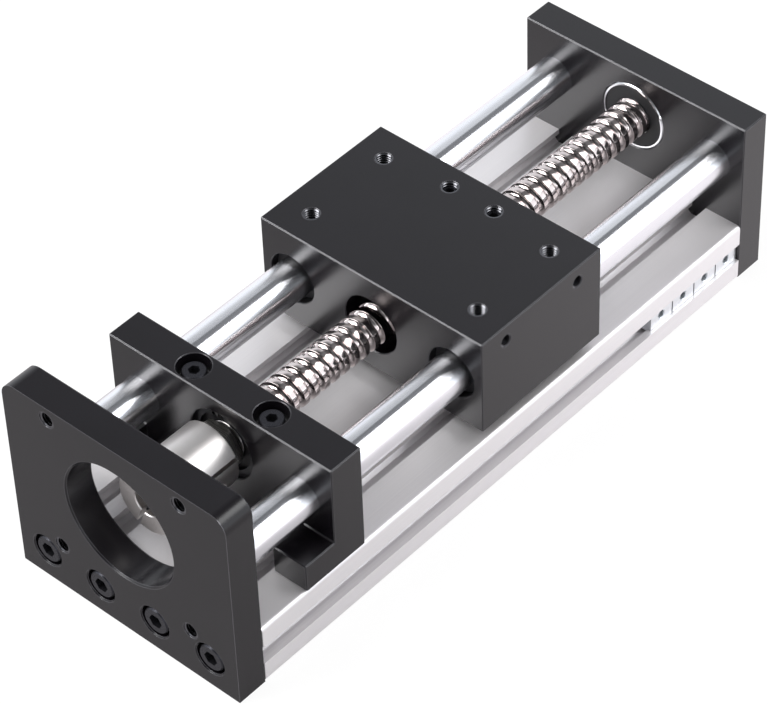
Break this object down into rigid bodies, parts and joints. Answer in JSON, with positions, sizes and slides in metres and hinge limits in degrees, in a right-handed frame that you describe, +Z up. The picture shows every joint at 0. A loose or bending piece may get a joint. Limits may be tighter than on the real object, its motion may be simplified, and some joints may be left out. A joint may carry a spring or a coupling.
{
  "type": "ball screw slide table",
  "caption": "Linear slide table: a carriage on twin guide shafts, moved by a ball screw over a grooved aluminium base, with a motor plate and a jaw coupling.",
  "frame": {"origin": "centre of the whole table at floor level, below the middle of its length", "axes": "+X along the screw from the motor plate to the rear plate, +Y to the left seen from the motor end, +Z up"},
  "size_m": [0.222, 0.08, 0.068],
  "materials": {
    "clear_anodised_aluminium": "satin clear anodised extrusion",
    "black_anodised_aluminium": "satin black anodised, machined",
    "black_steel": "black oxide",
    "bright_steel": "fine turned",
    "zinc_plated_steel": "bright zinc plated",
    "chromed_shaft": "hard chromed and ground",
    "ground_screw_steel": "rolled and polished",
    "bearing_steel": "ground",
    "black_rubber": "matte",
    "spring_steel": "phosphated",
    "turned_aluminium": "fine turned",
    "polyurethane": "satin",
    "white_polymer": "moulded",
    "bush_polymer": "moulded"
  },
  "bodies": {
    "frame": {"base_profile": "clear_anodised_aluminium", "motor_plate": "black_anodised_aluminium", "rear_plate": "black_anodised_aluminium", "bearing_block": "black_anodised_aluminium", "motor_plate_screws": "black_steel", "rear_plate_screws": "black_steel", "bearing_block_screws": "black_steel", "block_slot_nuts": "zinc_plated_steel", "side_slot_nuts": "zinc_plated_steel", "guide_shaft_left": "chromed_shaft", "guide_shaft_right": "chromed_shaft", "fixed_bearing_outer_ring": "bearing_steel", "rear_bearing_outer_ring": "bearing_steel", "fixed_bearing_seals": "black_rubber", "rear_bearing_seals": "black_rubber", "bearing_circlip": "spring_steel"},
    "screw": {"ball_screw": "ground_screw_steel", "fixed_bearing_inner_ring": "bearing_steel", "rear_bearing_inner_ring": "bearing_steel", "lock_nut": "bright_steel", "coupling_hub_motor_side": "turned_aluminium", "coupling_spider": "polyurethane", "coupling_hub_screw_side": "turned_aluminium", "coupling_clamp_screws": "black_steel"},
    "carriage": {"carriage_block": "black_anodised_aluminium", "ball_nut": "bright_steel", "nut_wipers": "white_polymer", "nut_return_inserts": "white_polymer", "nut_lock_screws": "black_steel", "bush_left_front": "bush_polymer", "bush_left_rear": "bush_polymer", "bush_right_front": "bush_polymer", "bush_right_rear": "bush_polymer"}
  },
  "joints": [
    {"name": "screw_spin", "type": "hinge", "parent": "frame", "child": "screw", "pos_m": [0, 0, 0.04], "axis": [1, 0, 0], "range_deg": [-5670.1, 4230.1]},
    {"name": "carriage_slide", "type": "slide", "parent": "frame", "child": "carriage", "axis": [1, 0, 0], "range_m": [-0.047, 0.063]}
  ],
  "couplings": [
    {"joint": "screw_spin", "follows": "carriage_slide", "rad_per_m": -1570.8}
  ]
}
